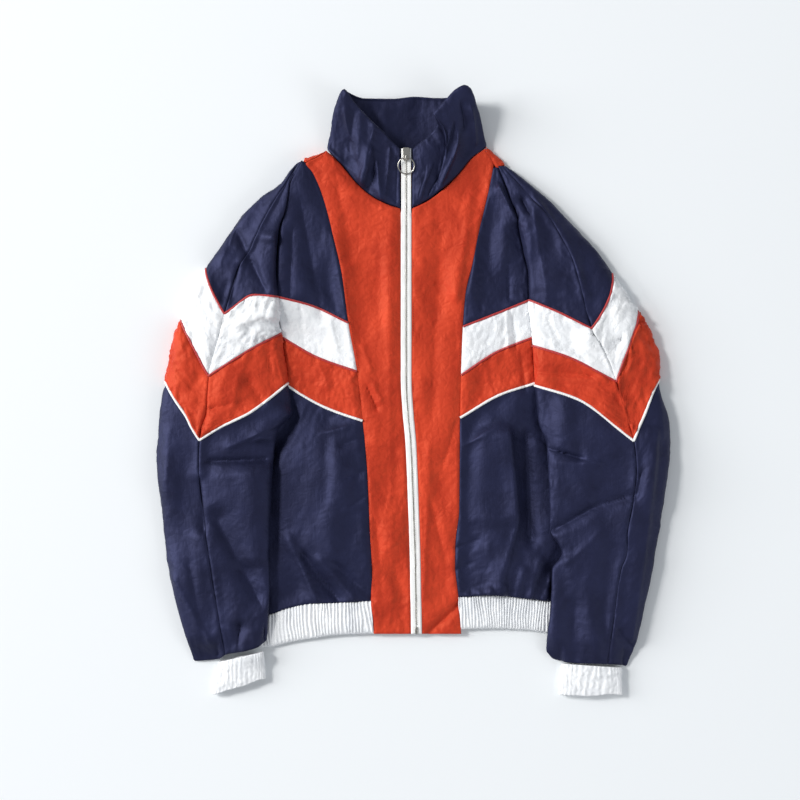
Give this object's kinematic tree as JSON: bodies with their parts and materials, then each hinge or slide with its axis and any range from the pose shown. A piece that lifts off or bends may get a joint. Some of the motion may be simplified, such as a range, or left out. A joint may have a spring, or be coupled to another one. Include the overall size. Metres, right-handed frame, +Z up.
{
  "type": "zip-front windbreaker jacket",
  "caption": "Crinkled nylon windbreaker with stand collar, chevron colour blocks, piping, gathered hem and cuffs and a ring-pull zip, closed and laid flat on its back.",
  "frame": {"origin": "on the surface that the garment lies on, under the middle of its bounding box", "axes": "+Y from the hem to the collar, +X to the wearer's left, +Z up from the surface, out of the fronts"},
  "size_m": [0.6973, 0.824, 0.049],
  "materials": {
    "navy_nylon": "crinkled woven nylon, low sheen",
    "red_nylon": "crinkled woven nylon, low sheen",
    "white_nylon": "crinkled woven nylon, low sheen",
    "red_piping": "satin piping",
    "white_piping": "satin piping",
    "zip_tape": "woven zip tape",
    "nickel": "nickel plated, polished"
  },
  "bodies": {
    "jacket": {"back_band_red": "red_nylon", "back_band_white": "white_nylon", "back_yoke": "red_nylon", "centre_front_l": "red_nylon", "centre_front_r": "red_nylon", "collar": "navy_nylon", "cuff_l": "white_nylon", "cuff_r": "white_nylon", "front_band_red_l": "red_nylon", "front_band_red_r": "red_nylon", "front_band_white_l": "white_nylon", "front_band_white_r": "white_nylon", "front_yoke_l": "navy_nylon", "front_yoke_r": "navy_nylon", "hem_back": "white_nylon", "hem_front_l": "white_nylon", "hem_front_r": "white_nylon", "lower_back": "navy_nylon", "lower_front_l": "navy_nylon", "lower_front_r": "navy_nylon", "piping_front_lower_l": "white_piping", "piping_front_lower_r": "white_piping", "piping_front_middle_l": "red_piping", "piping_front_middle_r": "red_piping", "piping_front_upper_l": "red_piping", "piping_front_upper_r": "red_piping", "piping_sleeve_lower_l": "white_piping", "piping_sleeve_lower_r": "white_piping", "piping_sleeve_middle_l": "red_piping", "piping_sleeve_middle_r": "red_piping", "piping_sleeve_upper_l": "red_piping", "piping_sleeve_upper_r": "red_piping", "shoulder_l": "red_nylon", "shoulder_r": "red_nylon", "sleeve_lower_back_l": "navy_nylon", "sleeve_lower_back_r": "navy_nylon", "sleeve_lower_front_l": "navy_nylon", "sleeve_lower_front_r": "navy_nylon", "sleeve_red_back_l": "red_nylon", "sleeve_red_back_r": "red_nylon", "sleeve_red_front_l": "red_nylon", "sleeve_red_front_r": "red_nylon", "sleeve_upper_back_l": "navy_nylon", "sleeve_upper_back_r": "navy_nylon", "sleeve_upper_front_l": "navy_nylon", "sleeve_upper_front_r": "navy_nylon", "sleeve_white_back_l": "white_nylon", "sleeve_white_back_r": "white_nylon", "sleeve_white_front_l": "white_nylon", "sleeve_white_front_r": "white_nylon", "upper_back": "navy_nylon", "zip_box": "nickel", "zip_slider": "nickel", "zip_tape_l": "zip_tape", "zip_tape_r": "zip_tape", "zip_teeth": "nickel"},
    "pull_ring": {"zip_ring": "nickel"}
  },
  "joints": [
    {"name": "ring_hinge", "type": "hinge", "parent": "jacket", "child": "pull_ring", "pos_m": [-0.01, 0.3182, 0.0275], "axis": [-1, 0, 0], "range_deg": [0, 165]}
  ]
}
